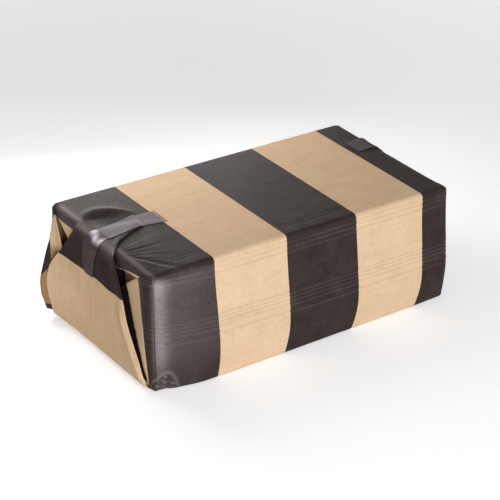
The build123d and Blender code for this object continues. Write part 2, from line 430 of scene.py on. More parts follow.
def mixed(tree, share, first, second, blend="MIX"):
    """A colour Mix node. Each input is a value or another node's socket."""
    node = tree.nodes.new("ShaderNodeMix")
    node.data_type = "RGBA"
    node.blend_type = blend
    for place, value in zip((node.inputs[0], node.inputs[6], node.inputs[7]), (share, first, second)):
        if isinstance(value, (float, tuple)):
            place.default_value = value
        else:
            join(tree, value, place)
    return node.outputs[2]


def attribute(tree, name):
    """A node that reads what the mesh carries under that name."""
    node = tree.nodes.new("ShaderNodeAttribute")
    node.attribute_name = name
    return node


def rib_place(tree, place_u, place_v):
    """The place across the pressed lines, which climb a little towards the left end."""
    past = calc(tree, "MAXIMUM", minus(tree, -60.0 * mm, place_u), 0.0)
    return plus(tree, place_v, times(tree, past, -0.09))


def groove(tree, place_v, middle, width):
    """1 along one pressed line at that place round the sheet, 0 a little way off."""
    off = calc(tree, "DIVIDE", minus(tree, place_v, middle * mm), width)
    return calc(tree, "POWER", 2.718, times(tree, times(tree, off, off), -1.0))


def paper_relief():
    """Geometry nodes that press the ribs into a skin and ripple it, from each point's paper place."""
    tree = bpy.data.node_groups.new("paper relief", "GeometryNodeTree")
    tree.interface.new_socket("Geometry", in_out="INPUT", socket_type="NodeSocketGeometry")
    for name, size in (("Groove width", 0.62), ("Groove depth", 0.34), ("Ripple size", 14.0),
                       ("Ripple depth", 0.22), ("Crinkle size", 3.2), ("Crinkle depth", 0.05)):
        socket = tree.interface.new_socket(name, in_out="INPUT", socket_type="NodeSocketFloat")
        socket.default_value = size * mm
    tree.interface.new_socket("Paper", in_out="INPUT", socket_type="NodeSocketMaterial")
    tree.interface.new_socket("Geometry", in_out="OUTPUT", socket_type="NodeSocketGeometry")
    dials = tree.nodes.new("NodeGroupInput").outputs
    leave = tree.nodes.new("NodeGroupOutput")
    place = tree.nodes.new("GeometryNodeInputNamedAttribute")
    place.data_type = "FLOAT_VECTOR"
    place.inputs["Name"].default_value = "paper"
    place_u, place_v = split(tree, place.outputs["Attribute"])[:2]
    flat = tree.nodes.new("ShaderNodeCombineXYZ")
    join(tree, place_u, flat.inputs[0])
    join(tree, place_v, flat.inputs[1])

    def noise(size, seed):
        node = tree.nodes.new("ShaderNodeTexNoise")
        node.noise_dimensions = "4D"
        node.inputs["W"].default_value = seed
        node.inputs["Scale"].default_value = 1.0
        node.inputs["Detail"].default_value = 2.0
        shrunk = tree.nodes.new("ShaderNodeVectorMath")
        shrunk.operation = "DIVIDE"
        join(tree, flat.outputs[0], shrunk.inputs[0])
        join(tree, size, shrunk.inputs[1])
        join(tree, shrunk.outputs[0], node.inputs["Vector"])
        return minus(tree, node.outputs[0], 0.5)

    # The pressed lines lie across the front in two groups
    warped = rib_place(tree, place_u, place_v)
    field = 0.0
    for rib in rib_heights:
        field = plus(tree, groove(tree, warped, front_v + rib, dials["Groove width"]), field)
    uneven = plus(tree, times(tree, noise(dials["Ripple size"], 4.0), 2.6), 0.8)
    ribs = times(tree, times(tree, field, uneven), dials["Groove depth"])
    ripple = times(tree, noise(dials["Ripple size"], 1.0), dials["Ripple depth"])
    crinkle = times(tree, noise(dials["Crinkle size"], 2.0), dials["Crinkle depth"])
    height = minus(tree, plus(tree, ripple, crinkle), ribs)
    normal = tree.nodes.new("GeometryNodeInputNormal")
    press = tree.nodes.new("GeometryNodeSetPosition")
    join(tree, dials["Geometry"], press.inputs["Geometry"])
    join(tree, scaled(tree, normal.outputs[0], height), press.inputs["Offset"])
    real = tree.nodes.new("GeometryNodeRealizeInstances")
    join(tree, press.outputs[0], real.inputs[0])
    cover = tree.nodes.new("GeometryNodeSetMaterial")
    join(tree, real.outputs[0], cover.inputs["Geometry"])
    join(tree, dials["Paper"], cover.inputs["Material"])
    join(tree, cover.outputs[0], leave.inputs[0])
    return tree


def kraft_paper():
    """Brown kraft with printed dark bands: fibres, flecks, a fine machine ribbing and satin ink, with the
    painted highlights and painted shade that the paper's third value gives.
    """
    material, tree, shader = new_material("banded kraft paper")
    place_u, place_v, painted_light = split(tree, attribute(tree, "paper").outputs["Vector"])

    def noise(scale_u, scale_v, detail, roughness=0.55, w=0.0):
        spread = tree.nodes.new("ShaderNodeCombineXYZ")
        join(tree, times(tree, place_u, scale_u), spread.inputs[0])
        join(tree, times(tree, place_v, scale_v), spread.inputs[1])
        spread.inputs[2].default_value = w
        node = tree.nodes.new("ShaderNodeTexNoise")
        node.inputs["Scale"].default_value = 1.0
        node.inputs["Detail"].default_value = detail
        node.inputs["Roughness"].default_value = roughness
        join(tree, spread.outputs[0], node.inputs["Vector"])
        return node.outputs[0]

    # The bands, with an edge that the fibres make a little ragged
    ragged = times(tree, minus(tree, noise(2500.0, 2500.0, 1.0), 0.5), 0.35 * mm)
    along = plus(tree, minus(tree, place_u, band_start * mm), ragged)
    phase = calc(tree, "FRACT", calc(tree, "DIVIDE", along, 2 * band_pitch * mm))
    middle = calc(tree, "ABSOLUTE", minus(tree, phase, 0.25))
    wrapped = calc(tree, "MINIMUM", middle, minus(tree, 1.0, middle))
    inked = ranged(tree, wrapped, 0.2512, 0.2488, kind="SMOOTHSTEP")

    def ramp(value, stops):
        node = tree.nodes.new("ShaderNodeValToRGB")
        marks = node.color_ramp.elements
        for place, (position, colour) in ((0, stops[0]), (1, stops[-1])):
            marks[place].position = position
            marks[place].color = (*colour, 1)
        for position, colour in stops[1:-1]:
            marks.new(position).color = (*colour, 1)
        join(tree, value, node.inputs[0])
        return node.outputs[0]

    fibre = noise(300.0, 2600.0, 4.0, 0.65)
    cloud = noise(70.0, 90.0, 4.0, 0.6, 3.0)
    pulp = plus(tree, times(tree, fibre, 0.68), times(tree, cloud, 0.32))
    kraft = ramp(pulp, [(0.36, (0.585, 0.395, 0.238)), (0.50, (0.660, 0.462, 0.288)),
                        (0.64, (0.720, 0.520, 0.338))])
    # Painted shade darkens the pressed lines on bare kraft, and a painted highlight lightens the ink on the
    # crests between them
    warped = rib_place(tree, place_u, place_v)
    groove_shade, crests = 0.0, 0.0
    for rib in rib_heights:
        groove_shade = plus(tree, groove(tree, warped, front_v + rib, 0.50 * mm), groove_shade)
        crests = plus(tree, groove(tree, warped, front_v + rib - 1.15, 0.50 * mm), crests)
    patches = plus(tree, times(tree, noise(45.0, 45.0, 2.0, 0.5, 21.0), 1.4), -0.05)
    groove_shade = times(tree, groove_shade, patches)
    streaks = minus(tree, noise(9.0, 420.0, 3.0, 0.6, 17.0), 0.5)
    on_flap = calc(tree, "GREATER_THAN", place_v, (flap_v - 20.0) * mm)
    streaky = plus(tree, times(tree, on_flap, 0.22), 0.11)
    streaks = times(tree, streaks, streaky)
    tone = minus(tree, plus(tree, streaks, 1.0), times(tree, groove_shade, 0.17))
    # Below 0 the third paper value says how far a dark brown painted shade covers the kraft
    painted_shade = ramp(pulp, [(0.36, (0.24, 0.130, 0.055)), (0.64, (0.36, 0.215, 0.105))])
    bare = mixed(tree, times(tree, painted_light, -1.0), scaled(tree, kraft, tone), painted_shade)
    flecks = ramp(noise(1500.0, 2600.0, 2.0, 0.5, 7.0), [(0.30, (0.80, 0.76, 0.72)), (0.38, (1, 1, 1))])
    speckled = mixed(tree, 1.0, bare, flecks, "MULTIPLY")
    grain = times(tree, noise(900.0, 2200.0, 3.0, 0.6, 5.0), 0.7)
    dark = ramp(plus(tree, grain, times(tree, cloud, 0.3)),
                [(0.36, (0.022, 0.0150, 0.0128)), (0.50, (0.034, 0.0240, 0.0210)),
                 (0.64, (0.066, 0.050, 0.045))])
    # Above 0 the third paper value says how far a painted highlight turns the ink grey, most on the crests
    # of the ribbing: at the front corner's bulge, along the rims, on the wing's edge and the crumple
    wavy = plus(tree, place_v, times(tree, noise(25.0, 60.0, 2.0, 0.5, 9.0), 0.5 * mm))
    ribbing = calc(tree, "SINE", times(tree, wavy, 2 * pi / (1.15 * mm)))
    patchy = plus(tree, noise(300.0, 2200.0, 3.0, 0.6, 15.0), times(tree, ribbing, 0.09))
    crest_highlight = times(tree, times(tree, crests, patches), 0.10)
    highlight_mix = plus(tree, times(tree, painted_light, patchy), crest_highlight)
    highlighted_ink = mixed(tree, highlight_mix, dark, (0.30, 0.252, 0.24, 1))
    join(tree, mixed(tree, inked, speckled, highlighted_ink), shader.inputs["Base Color"])

    # Bare kraft is matt and the ink has a soft sheen, which is duller on the flaps' faces
    uneven = times(tree, minus(tree, cloud, 0.5), 0.12)
    rough = plus(tree, ranged(tree, inked, 0.0, 1.0, 0.72, 0.36), uneven)
    join(tree, rough, shader.inputs["Roughness"])
    below_rim = ranged(tree, place_u, -178.0 * mm, -166.0 * mm, kind="SMOOTHSTEP")
    folded_up = times(tree, on_flap, below_rim)
    sheen = minus(tree, 0.035, times(tree, folded_up, 0.030))
    join(tree, sheen, shader.inputs["Specular IOR Level"])
    shader.inputs["Specular Tint"].default_value = (1.0, 0.87, 0.84, 1.0)

    # Machine ribbing across the sheet, about 1.1 mm apart, over the grain of the fibres
    fade = times(tree, noise(30.0, 45.0, 2.0, 0.5, 11.0), 0.9)
    fibrous = times(tree, noise(1300.0, 3600.0, 4.0, 0.65, 13.0), 1.1)
    relief = plus(tree, times(tree, times(tree, ribbing, fade), 0.5), fibrous)
    bump = tree.nodes.new("ShaderNodeBump")
    bump.inputs["Strength"].default_value = 0.8
    bump.inputs["Distance"].default_value = 0.08 * mm
    join(tree, relief, bump.inputs["Height"])
    join(tree, bump.outputs[0], shader.inputs["Normal"])
    return material


kraft = kraft_paper()
relief = paper_relief()


def sheet_piece(name, loops, places, ripple=0.22, crinkle=0.05, rib=0.34):
    """A piece of the sheet with the relief pressed in to these depths in mm, as a plain mesh."""
    piece = paper_piece(name, loops, places)
    press = piece.modifiers.new("relief", "NODES")
    press.node_group = relief
    wanted = {"Groove depth": rib * mm, "Ripple depth": ripple * mm, "Crinkle depth": crinkle * mm,
              "Paper": kraft}
    for item in relief.interface.items_tree:
        if item.in_out == "INPUT" and item.name in wanted:
            press[item.identifier] = wanted[item.name]
    bpy.context.view_layer.update()
    seen = piece.evaluated_get(bpy.context.evaluated_depsgraph_get())
    plain = bpy.data.meshes.new_from_object(seen)
    piece.modifiers.clear()
    piece.data = plain
    plain.name = piece.name
    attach(piece, "root")
    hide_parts("wrapped_pack")


sheet_piece("wrapping_sheet", rows, papers)

# The side wings: at each end the sheet's front and back are folded in over the turned-down top, each with
# a slanting upper fold. A wing is doubled paper. The back ones aren't pressed flat and stand out.
left_puff = ([0.0, 7.2, 16.4, 24.0, 28.4, 34.6, 43.4, 50.0, 62.0, 68.0, 72.0],
             [1.5, 6.9, 9.4, 9.9, 9.4, 7.6, 5.1, 2.7, 0.6, 0.0, 0.0])
right_puff = ([0.0, 9.0, 22.0, 34.0, 46.0, 58.0, 66.0, 72.0],
              [1.2, 5.6, 8.2, 6.6, 3.6, 1.2, 0.2, 0.0])
wing_thick = 0.9        # the front wings' doubled paper
loose_thick = 0.8       # the back wings'
highest_fold = pack_height - 1.0
front_slope = {-1: 0.70, 1: 0.78}           # of the front wings' upper folds
back_slope = {-1: 0.485, 1: 0.62}           # and of the back wings'
fold_angles = (0.5, 1.1, 1.7, 2.3, 2.9)     # points round a folded edge, in radians
# Where the bottom flap's edges lie, by the place s that runs from the foot up the end and along the top
flap_edges = {
    -1: {
        "s": [-2.0, 0.6, 8.4, 15.5, 20.9, 26.6, 35.0, 37.4, 42.6, 48.1,
              53.0, 60.0, 66.1, 71.0, 75.0, 77.8, 84.2, 90.8, 96.4],
        "front": [-51.8, -51.3, -47.2, -43.4, -40.6, -37.7, -33.3, -32.3, -30.3, -28.3,
                  -26.6, -24.2, -22.0, -18.8, -14.6, -11.3, -7.9, -3.6, 0.2],
        "back": [51.0, 50.4, 47.6, 47.3, 47.9, 48.6, 47.2, 46.4, 43.6, 38.9,
                 35.3, 30.0, 25.3, 22.2, 20.0, 18.6, 15.9, 13.6, 12.0],
    },
    1: {
        "s": [-2.0, 0.6, 10.0, 20.0, 34.0, 45.0, 56.0, 66.0, 71.0, 75.0, 77.5],
        "front": [-51.8, -51.2, -43.0, -34.4, -22.2, -12.6, -3.0, 5.6, 7.5, 8.4, 9.0],
        "back": [51.0, 50.2, 48.4, 48.2, 48.0, 40.8, 33.4, 26.8, 25.1, 24.2, 23.5],
    },
}
# How far the dark print reaches round the loose left wing, by height
print_edge = ([0.0, 10.0, 20.0, 27.0, 34.0, 40.0, 48.0, 53.0, 60.0, 62.0, 64.5, 72.0],
              [1.0, 3.0, 5.5, 10.0, 13.0, 12.0, 7.5, 3.0, 0.8, 1.5, 9.0, 14.0])


def flap_edge(s, side, which):
    """Where an edge of the bottom flap lies, at place s up the end."""
    return np.interp(s, flap_edges[side]["s"], flap_edges[side][which])


def front_fold_z(y, side):
    """Height of the front wing's upper fold."""
    return 72.2 - front_slope[side] * (y + 51.0)


def back_fold_y(z, side):
    """How far back the back wing's upper fold lies at a height."""
    return (49.8 if side < 0 else 52.6) - (pack_height - z) * back_slope[side]


def front_wing(name, side):
    """Loops at constant y: up the outside, over the upper fold and down the inside."""
    loops = []
    places = []
    stations = [(-side_y + rim_round * (1.0 - sin(radians(a))), rim_round * (1.0 - cos(radians(a))))
                for a in (60.0, 42.0, 24.0, 10.0, 0.0)]
    stations += [(y, 0.0) for y in np.linspace(-51.0, -12.0, 40)]
    for y, inset in stations:
        fold = min(front_fold_z(y, side), highest_fold)
        if side > 0:
            fold = min(fold, highest_fold - 6.5 * float(smooth((-48.5 - y) / 6.0)))
        foot = 0.9
        z = foot + (fold - foot) * np.linspace(0.0, 1.0, 40)
        ahead = edge_inset(z, foot_round)
        ahead = np.maximum(ahead, edge_inset(pack_height - z, crest_round))
        fade = np.clip((-y - 20.0) / 35.0, 0.0, 1.0)
        y_out = y + ahead * fade
        under = smooth((y_out - flap_edge(z, side, "front") + 1.1) / 1.4)
        lift = 0.12 + 0.16 * smooth((y + 54.0) / 4.0) + 0.35 * smooth(1.0 - (fold - z) / 7.0)
        dip = (0.11 if side < 0 else 0.05) * np.maximum(y_out + 49.5, 0.0)
        h = lift - inset - edge_inset(pack_height - z, rim_round) - under
        h = h - edge_inset(z, rim_round) - dip
        y_out = y_out - belly(side * end_x, z) * smooth((-y_out - 42.0) / 10.0)
        outer = stacked(h, y_out, z)
        tip = outer[-1]
        half = wing_thick / 2
        bend = [(tip[0] - half + half * cos(a), tip[1], tip[2] + half * sin(a)) for a in fold_angles]
        inner = stacked(h - wing_thick, y_out, z)[::-1][::3]
        h, y, z = np.concatenate([outer, bend, inner]).T
        strip = 3.7 + 0.133 * z if side < 0 else 4.9
        u = side * (-band_start - strip + y + side_y)
        # Painted shade: where the wing runs under the flap's edge it is given the dark print, for the
        # shadowed channel there
        channel_shade = y > flap_edge(z, side, "front") + 0.2
        u = np.where(channel_shade & (side < 0), -80.0, u)
        loops.append(stacked(side * (end_x + h), y, z))
        # Painted highlight on the ink along the wing's outer edge, which carries the corner's painted
        # highlight onto the wing
        painted_highlight = (0.62 if side < 0 else 0.0) * bell(y + side_y, 1.3) * smooth((68.0 - z) / 5.0)
        places.append(stacked(u, front_v + z, painted_highlight * highlight_share_at(z) / mm))
    sheet_piece(name, loops, places, 0.16, 0.05)


def back_wing(name, side):
    """Loops at constant height: across the loose wing from the pack's corner, round its fold and back."""
    puff = left_puff if side < 0 else right_puff
    half = loose_thick / 2
    loops = []
    places = []
    for level in np.linspace(0.0, 1.0, 56):
        share = np.linspace(0.0, 1.0, 34) ** 1.25
        z_mid = 0.8 + 70.0 * level
        fold = max(back_fold_y(z_mid, side), 33.0)
        y = side_y - (side_y - fold) * share
        t = (side_y - y) / 11.5
        # The hem of the loose paper lifts off the ground under its bulge
        hem = 6.0 * bell(t - 0.42, 0.38) * (1.0 - smooth(level / 0.25))
        z = z_mid + hem
        reach = np.interp(z, *puff)
        shape = np.where(t < 0.30, np.sin(np.clip(t / 0.30, 0, 1) * pi / 2) ** 0.8,
                         0.24 + 0.76 * (1.0 - smooth((t - 0.30) / 0.62)))
        curl = 0.9 * smooth(1.0 - (y - fold) / 4.5) * smooth((z - 36.0) / 10.0) * smooth((74.0 - z) / 8.0)
        kink = 0.7 * np.sin(z / 3.1 + t * 4.0) * smooth((24.0 - z) / 10.0) * bell(t - 0.6, 0.3)
        h = 0.10 + 0.25 * smooth(t / 0.3) + reach * shape + curl + kink
        # At its foot the fold tucks in behind the flap
        h = h - 1.6 * smooth((t - 0.85) / 0.35) * smooth((6.0 - z) / 4.0)
        ahead = np.maximum(edge_inset(z, long_round), edge_inset(pack_height - z, long_round))
        y = y - ahead * (1.0 - share)
        from_side = side_y - y - ahead * (1.0 - share)
        h = h - edge_inset(pack_height - z, rim_round) - edge_inset(from_side, rim_round) * (reach < 2.0)
        bend = [(h[-1] - half + half * cos(a), y[-1] - half * sin(a), z[-1]) for a in fold_angles]
        outer = stacked(h, y, z)
        inner = stacked(np.maximum(h - loose_thick, -pocket_depth), y, z)[::-1][::3]
        inner[:, 1] = np.minimum(inner[:, 1], side_y - 0.6)
        run = np.concatenate([[0.0], np.cumsum(np.hypot(np.diff(y), np.diff(h)))])
        run = np.concatenate([run, np.full(len(fold_angles), run[-1] + 0.6), run[::-1][::3]])
        h, y, z = np.concatenate([outer, bend, inner]).T
        painted_shade = np.zeros_like(z)
        u = end_x + run
        if side < 0:
            # Painted shade: below 50 mm the loose wing's kraft is given the dark brown shade tone
            painted_shade = smooth((50.0 - z) / 6.0)
            # The hem's lowest loops are given the dark print: painted shade for the shadow under the hem
            edge = np.interp(z, *print_edge) + (30.0 if level < 0.055 else 0.0)
            u = band_start + edge - run
        loops.append(stacked(side * (end_x + h), y, z))
        places.append(stacked(u, 250.0 - z, -painted_shade / mm))
    sheet_piece(name, loops, places, 0.25, 0.08)


front_wing("left_front_wing", -1)
back_wing("left_back_wing", -1)
front_wing("right_front_wing", 1)
back_wing("right_back_wing", 1)

# The bottom flap at each end: the underside's overhang, folded up over the wings between two mitres. Its
# tongue goes over the top edge and is taped down. Place s runs up the end and along the top.
rim_start = pack_height - rim_round
rim_stop = rim_start + pi / 2 * rim_round
flap_push = {
    -1: ([-2.0, 2.0, 8.0, 16.0, 22.0, 30.0, 37.0, 43.0, 48.0, 60.0, 69.0, 78.0],
         [0.0, 1.2, 3.4, 5.4, 6.0, 5.6, 4.2, 2.6, 1.6, 0.6, 0.1, 0.0]),
    1: ([-2.0, 2.0, 10.0, 22.0, 34.0, 46.0, 60.0, 70.0, 78.0],
        [0.0, 1.0, 3.6, 5.0, 4.0, 2.0, 0.6, 0.1, 0.0]),
}
tip_skew = {-1: 2.7, 1: 0.6}    # how much further the tongue's tip reaches at its back
flap_thick = 0.8
stand_off = {-1: 1.5, 1: 1.1}   # from the pack to the flap's face
ridge_height = {-1: 1.8, 1: 0.3}            # along the flap's front fold


def on_top_rise(x, y, side):
    """The top face's own rise under the tongue."""
    if side > 0:
        return np.zeros_like(y)
    return 0.35 * top_rise(x, y) * smooth((x + tube_x + 1.0) / 6.0)


def over_end(s, h):
    """(outward place past the end plane, z) at path place s and height h above the pack."""
    rim_turn = np.clip((s - rim_start) / rim_round, 0.0, pi / 2)
    out = np.where(s < rim_start, h, -rim_round + (rim_round + h) * np.cos(rim_turn))
    z = np.where(s < rim_start, s, rim_start + (rim_round + h) * np.sin(rim_turn))
    past = np.maximum(s - rim_stop, 0.0)
    out = np.where(s > rim_stop, -rim_round - past, out)
    low = s < rim_round
    turn = np.clip((s + 2.0) / (rim_round + 2.0), 0.0, 1.0) * pi / 2
    lifted = h * smooth((s + 2.0) / 6.0)
    out = np.where(low, -rim_round + (rim_round + lifted) * np.sin(turn), out)
    z = np.where(low, rim_round - rim_round * np.cos(turn), z)
    return out, z


def flap_height(s, y, side):
    """Height of the flap's outer face above the pack."""
    front = flap_edge(s, side, "front")
    back = flap_edge(s, side, "back")
    push = np.interp(s, *flap_push[side])
    inward = np.clip((back - y) / 38.0, 0.0, 1.0)
    bulge = push * (1.0 - inward) ** 1.6
    in_front = y - front
    upper = smooth((s - 6.0) / 30.0) * (1.0 - 0.35 * smooth((s - 92.0) / 6.0))
    lift = (0.75 if side < 0 else 0.3) * upper * bell(in_front, 8.0)
    lift = lift * (1.0 - 0.6 * smooth((s - 68.0) / 8.0))
    ridge_at = 2.0 + 2.4 * smooth((s - 3.0) / 15.0) * smooth((58.0 - s) / 20.0)
    rolled = ridge_height[side] * bell(in_front - ridge_at, 0.5 + 0.5 * ridge_at)
    rolled = rolled * smooth((s - 1.0) / 8.0) * (1.0 - 0.9 * smooth((s - 34.0) / 14.0))
    tongue = smooth((s - rim_stop) / 20.0)
    settle = 0.75 * smooth((s - 60.0) / 12.0)
    if side < 0:
        settle = 0.35 * tongue + 0.5 * smooth((s - 66.0) / 10.0)
    back_lift = 0.25 * bell(back - y, 3.0)
    wave = 0.16 * np.sin(s / 7.5 + y / 13.0) * smooth((s - 8.0) / 10.0) * (1.0 - tongue)
    return stand_off[side] + bulge + lift + rolled + back_lift - settle + wave


def there_and_back(outer, inner):
    """A loop's values: across the outer face, then back along the inner one at every second point."""
    return np.concatenate([outer, inner[1:-1][::-1][::2]])


def bottom_flap(name, side):
    """Loops at constant s: across the flap's outer face and back along its inner one."""
    length = flap_edges[side]["s"][-1]
    stations = np.concatenate([np.linspace(-2.0, 3.5, 6), np.linspace(4.6, rim_start, 58)[:-1],
                               np.linspace(rim_start, rim_stop, 9)[:-1],
                               np.linspace(rim_stop, length, 22 if side < 0 else 6)])
    loops = []
    places = []
    turn = np.linspace(0.0, 1.0, 73) * pi
    share = 0.5 - 0.5 * np.cos(turn) * (0.35 + 0.65 * np.abs(np.cos(turn)) ** 0.5)
    for s in stations:
        front = flap_edge(s, side, "front")
        back = flap_edge(s, side, "back")
        y = front + (back - front) * share
        skew = tip_skew[side] * smooth((s - rim_stop) / max(length - rim_stop, 1.0)) * share
        thick = flap_thick * smooth((s + 2.5) / 3.0)
        outer_h = flap_height(np.full_like(y, s), y, side)
        # The mitres are soft folds: the outer face rolls down over the last millimetre
        past_edge = np.clip(np.minimum(y - front, back - y) / (thick * 0.9 + 1e-6), 0, 1)
        roll = thick * 0.5 * (1.0 - np.sqrt(np.clip(1.0 - (1.0 - past_edge) ** 2, 0, 1)))
        y_all = there_and_back(y, y)
        h_all = there_and_back(outer_h - roll, outer_h - thick + roll)
        s_all = s + there_and_back(skew, skew)
        out, z = over_end(s_all, h_all)
        z = np.where(s_all > rim_stop, pack_height + h_all + on_top_rise(-end_x - out, y_all, side), z)
        inset = edge_inset(z, long_round)
        y_all = np.clip(y_all, -side_y + inset + 0.3, side_y - inset - 0.3)
        z = np.maximum(z, 0.02)
        loops.append(stacked(side * (end_x + out), y_all, z))
        if side < 0:
            u = band_start - 0.2 - s_all * 0.958 - 1.9 * smooth((70.0 - s_all) / 20.0)
            u = u - 1.1 * bell(y_all + 13.0, 7.0) * bell(s_all - 47.0, 8.0)
        else:
            u = end_x + s_all + 9.5
        # Painted highlight: a grey line along the left flap's fold over the rim, where it turns onto the
        # top
        painted_highlight = 1.5 * bell(s_all - rim_start - 2.6, 1.7) * (0.75 + 0.25 * np.sin(y_all * 2.9)) * (side < 0)
        places.append(stacked(u, 35.0 - y_all + flap_v, painted_highlight / mm))
    sheet_piece(name, loops, places, 0.2, 0.06, 0.0)


bottom_flap("left_flap", -1)
bottom_flap("right_flap", 1)

# The tape: three strips of clear matt office tape, 15 mm wide, cut on a toothed blade. One holds each
# tongue and one the overlap on the underside. They are shown as a frosted, nearly covering film.
tape_columns = 25       # points across a strip
film_gap = 0.34         # from the paper to the film's outer face
film_dark = (0.052, 0.034, 0.034, 1.0)
film_sheen = (0.66, 0.585, 0.62, 1.0)


def clear_tape():
    """Frosted film: dark on the flat, paler by its painted sheen, and see-through only where clear is 1."""
    material, tree, shader = new_material("clear matt tape")
    place = tree.nodes.new("ShaderNodeTexCoord")
    cloud = tree.nodes.new("ShaderNodeTexNoise")
    cloud.inputs["Scale"].default_value = 120.0
    cloud.inputs["Detail"].default_value = 3.0
    join(tree, place.outputs["Object"], cloud.inputs["Vector"])
    painted_sheen = attribute(tree, "painted_sheen").outputs["Fac"]
    join(tree, mixed(tree, painted_sheen, film_dark, film_sheen), shader.inputs["Base Color"])
    haze = ranged(tree, cloud.outputs[0], 0.3, 0.7, 0.80, 0.86)
    cover = plus(tree, haze, times(tree, painted_sheen, 0.2))
    clear = attribute(tree, "clear").outputs["Fac"]
    hiding = minus(tree, 1.0, times(tree, clear, 0.7))
    join(tree, times(tree, cover, hiding), shader.inputs["Alpha"])
    shader.inputs["Roughness"].default_value = 0.45
    shader.inputs["Specular IOR Level"].default_value = 0.08
    shader.inputs["Specular Tint"].default_value = (1.0, 0.92, 0.95, 1.0)
    return material


tape_film = clear_tape()


def tape_piece(name, node, upper, out, thick=0.07, painted_sheen=None, clear=None):
    """A thin closed strip from a grid of points on its upper face and their outward directions."""
    lower = upper - out * thick
    loops = np.concatenate([upper, lower[:, ::-1]], axis=1)
    piece = paper_piece(name, loops, np.zeros_like(loops))
    piece.data.attributes.remove(piece.data.attributes["paper"])
    if painted_sheen is None:
        painted_sheen = np.zeros(upper.shape[:2])
        clear = np.ones(upper.shape[:2])
    for label, values in (("painted_sheen", painted_sheen), ("clear", clear)):
        layer = piece.data.attributes.new(label, "FLOAT", "POINT")
        both_faces = np.concatenate([values, values[:, ::-1]], axis=1)
        layer.data.foreach_set("value", both_faces.astype(np.float32).ravel())
    piece.data.materials.append(tape_film)
    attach(piece, "root")
    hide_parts(node)


def end_tape(name, node, side, start, stop, back_edge, front_edge, wrinkle):
    """A strip along the flap and the top, from path place start to stop, between two edge lines."""
    stations = np.linspace(start, stop, 90 if side < 0 else 50)
    tip = flap_edges[side]["s"][-1]
    share = np.linspace(0.0, 1.0, tape_columns)
    upper = []
    for number, s in enumerate(stations):
        back = np.interp(s, *back_edge)
        front = np.interp(s, *front_edge)
        y = front + (back - front) * share
        tooth = np.zeros_like(share)
        if number == 0 or number == len(stations) - 1:
            tooth = 0.35 * np.abs(((share * 14.0) % 1.0) - 0.5)
        reach = s + tooth * (1 if number == 0 else -1)
        on_flap = flap_height(np.full_like(y, s), y, side)
        tip_here = tip + tip_skew[side] * share
        ramp = 1.0 - smooth((s - tip_here + 0.2) / 3.2)
        h = on_flap * ramp + film_gap + 0.35 * ramp * (1.0 - ramp) + wrinkle(s, share)
        top_x = -end_x + (s - rim_stop + rim_round)
        rise = on_top_rise(top_x, y, side)
        full = top_rise(top_x, y) if side < 0 else 0.0
        out, z = over_end(reach, h)
        z = np.where(reach > rim_stop, pack_height + h + rise * ramp + full * (1.0 - ramp), z)
        upper.append(stacked(side * (end_x + out), y, z))
    upper = np.array(upper)
    along = np.gradient(upper, axis=0)
    across = np.gradient(upper, axis=1)
    out = np.cross(along, across)
    out = out / np.linalg.norm(out, axis=-1, keepdims=True)
    centre = (len(upper) // 2, tape_columns // 2)
    outward = upper[centre] - np.array([0.0, 0.0, pack_height / 2])
    if np.dot(out[centre], outward) < 0:
        out = -out
    # Painted highlight: the film is painted pale along its bend over the rim
    along_rim = (stations - rim_start - 2.4)[:, None] + 1.2 * np.sin(5.0 * share)[None, :]
    painted_sheen = (1.2 if side < 0 else 0.15) * bell(along_rim - 0.6, 1.6) * (0.8 + 0.2 * np.sin(16.0 * share))
    # On the top the film is painted paler than on the end, a painted sheen
    top_sheen = (0.20 if side < 0 else 0.07) * smooth((stations - rim_stop + 2.0) / 5.0)
    painted_sheen = np.maximum(painted_sheen, top_sheen[:, None])
    # Over bare kraft at its two ends the left strip is clear
    clear = smooth(stations - rim_stop - 36.2) + smooth((47.4 - stations) / 0.8)
    clear = np.repeat(clear[:, None], tape_columns, axis=1)
    tape_piece(name, node, upper, out, painted_sheen=painted_sheen, clear=clear)


def left_wrinkle(s, share):
    """Small tucks where the left strip was pulled aside below the rim, and a slight wave from there on."""
    tuck = 0.30 * bell(s - 65.5 + 5.0 * share, 1.6)
    tuck = tuck + 0.2 * bell(s - 58.0 + 8.0 * share, 2.2)
    pull = 0.18 * np.sin(share * 9.0 + s * 0.12) * smooth((s - 70.0) / 10.0)
    return 0.8 * tuck + 0.3 * pull + 0.02 * np.sin(s * 1.1 + share * 3.0)


def right_wrinkle(s, share):
    """A slight wave, and one small tuck on the rim."""
    return 0.05 * np.sin(share * 7.0 + s * 0.2) + 0.15 * bell(s - 72.0, 2.0) * share


end_tape("left_tape", "left_end_tape", -1, 46.0, rim_stop + 39.6,
         ([46.0, 53.4, 62.0, 66.0, 70.2, 74.0, 86.0, 100.0, 113.7],
          [12.0, 13.6, 13.6, 12.6, 9.2, 7.2, 9.8, 12.0, 11.4]),
         ([46.0, 52.0, 59.0, 64.0, 68.3, 74.0, 86.0, 100.0, 113.7],
          [3.6, 2.2, 0.6, -2.0, -4.4, -6.4, -4.4, -1.2, -4.1]),
         left_wrinkle)
end_tape("right_tape", "right_end_tape", 1, 52.0, rim_stop + 11.4,
         ([52.0, 74.0, 86.0], [26.6, 26.2, 25.4]),
         ([52.0, 74.0, 86.0], [11.8, 11.5, 12.0]),
         right_wrinkle)


def underside_strip():
    """The flat strip across the overlap, dipping over the sheet's cut edge."""
    y = np.linspace(-3.0, 43.0, 60)
    x = np.linspace(-7.4, 7.4, 13)
    grid_y, grid_x = np.meshgrid(y, x, indexing="ij")
    grid_z = 0.01 + 0.12 * smooth((grid_y - overlap_y + 0.3) / 0.8)
    upper = stacked(grid_x, grid_y, grid_z)
    out = np.zeros_like(upper)
    out[..., 2] = -1.0
    tape_piece("underside_strip", "underside_tape", upper, out, 0.06)


underside_strip()

